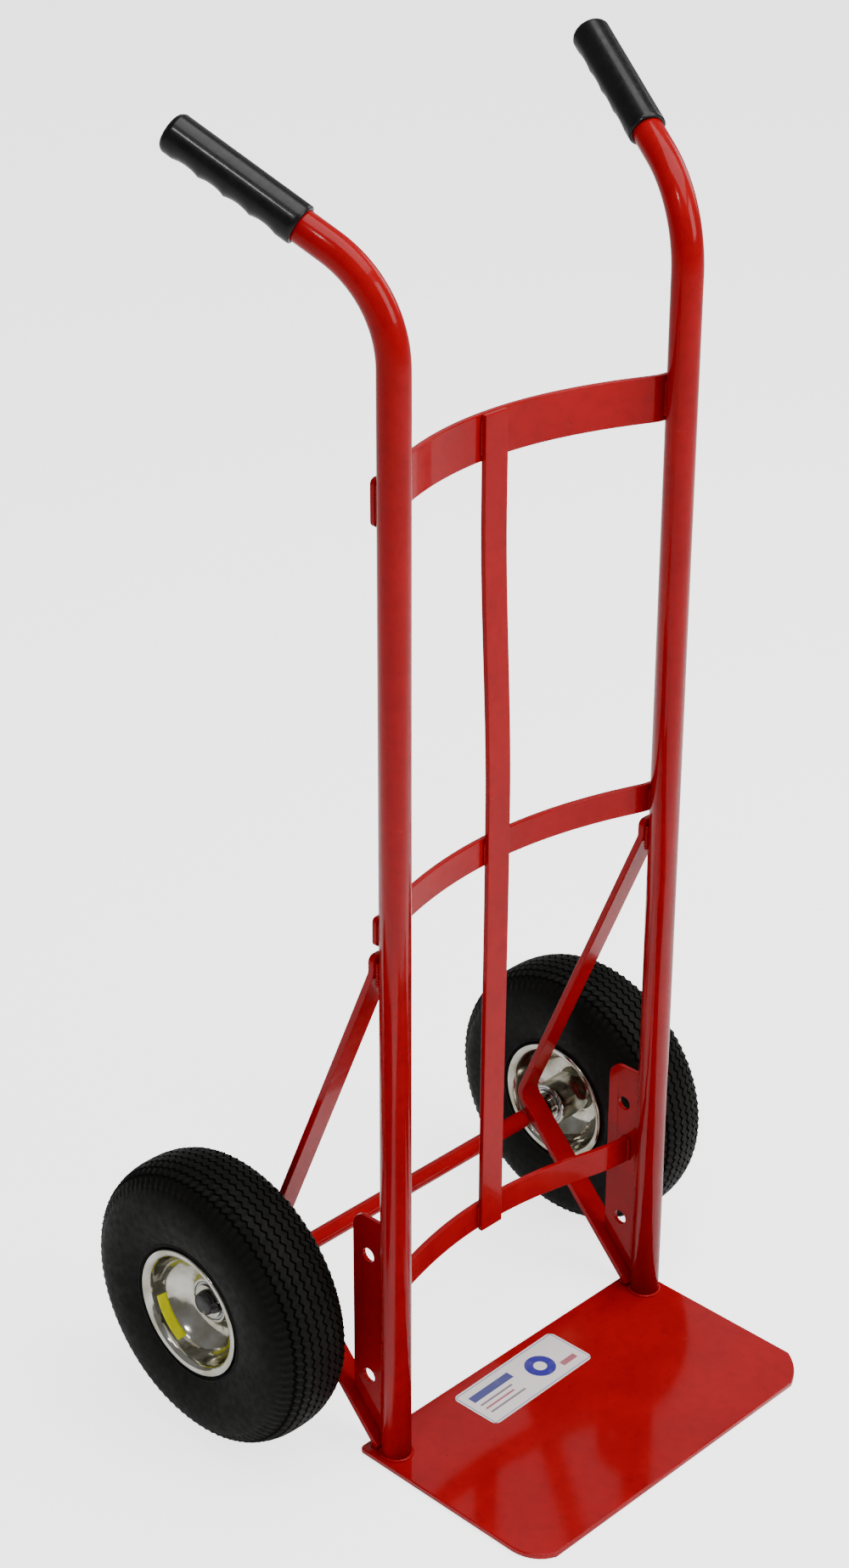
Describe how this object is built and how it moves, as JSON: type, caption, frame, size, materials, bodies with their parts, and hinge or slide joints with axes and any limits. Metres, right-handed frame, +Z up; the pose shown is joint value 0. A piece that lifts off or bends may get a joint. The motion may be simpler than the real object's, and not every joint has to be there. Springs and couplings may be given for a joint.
{
  "type": "hand truck",
  "caption": "Upright steel hand truck with outward-bent gripped handles, bowed cross straps, braced axle, toe plate and free-rolling pneumatic wheels.",
  "frame": {"origin": "on the floor, at the middle of the whole truck's width and depth", "axes": "+X from the left wheel to the right wheel, +Y from the toe plate to the wheels and handles, +Z up"},
  "size_m": [0.536, 0.445, 1.1166],
  "materials": {
    "red_paint": "gloss red enamel",
    "black_grip": "smooth black vinyl",
    "tyre_rubber": "satin black",
    "tube_rubber": "matt black",
    "bright_zinc": "bright zinc plate",
    "bearing_steel": "ground steel",
    "valve_rubber": "matt black",
    "valve_cap": "moulded",
    "black_cap": "moulded",
    "label": "printed sticker",
    "rim_label": "yellow sticker"
  },
  "bodies": {
    "frame": {"rail_left": "red_paint", "grip_left": "black_grip", "brace_left": "red_paint", "bracket_left": "red_paint", "rail_right": "red_paint", "grip_right": "black_grip", "brace_right": "red_paint", "bracket_right": "red_paint", "top_strap": "red_paint", "middle_strap": "red_paint", "lower_strap": "red_paint", "centre_strap": "red_paint", "toe_plate": "red_paint", "axle": "red_paint", "plate_label": "label", "left_bearing_inner_cone": "bearing_steel", "left_bearing_outer_cone": "bearing_steel", "left_inner_washer": "bright_zinc", "left_outer_washer": "bright_zinc", "left_spacer": "bright_zinc", "left_axle_cap": "black_cap", "right_bearing_inner_cone": "bearing_steel", "right_bearing_outer_cone": "bearing_steel", "right_inner_washer": "bright_zinc", "right_outer_washer": "bright_zinc", "right_spacer": "bright_zinc", "right_axle_cap": "black_cap"},
    "left_wheel": {"left_tyre": "tyre_rubber", "left_inner_tube": "tube_rubber", "left_rim_outer": "bright_zinc", "left_rim_inner": "bright_zinc", "left_hub": "bright_zinc", "left_bearing_inner_cup": "bearing_steel", "left_bearing_outer_cup": "bearing_steel", "left_valve_stem": "valve_rubber", "left_valve_cap": "valve_cap", "left_rim_label": "rim_label"},
    "right_wheel": {"right_tyre": "tyre_rubber", "right_inner_tube": "tube_rubber", "right_rim_outer": "bright_zinc", "right_rim_inner": "bright_zinc", "right_hub": "bright_zinc", "right_bearing_inner_cup": "bearing_steel", "right_bearing_outer_cup": "bearing_steel", "right_valve_stem": "valve_rubber", "right_valve_cap": "valve_cap", "right_rim_label": "rim_label"}
  },
  "joints": [
    {"name": "left_wheel_spin", "type": "hinge", "parent": "frame", "child": "left_wheel", "pos_m": [-0.227, 0.0955, 0.127], "axis": [1, 0, 0], "continuous": true},
    {"name": "right_wheel_spin", "type": "hinge", "parent": "frame", "child": "right_wheel", "pos_m": [0.227, 0.0955, 0.127], "axis": [1, 0, 0], "continuous": true}
  ]
}
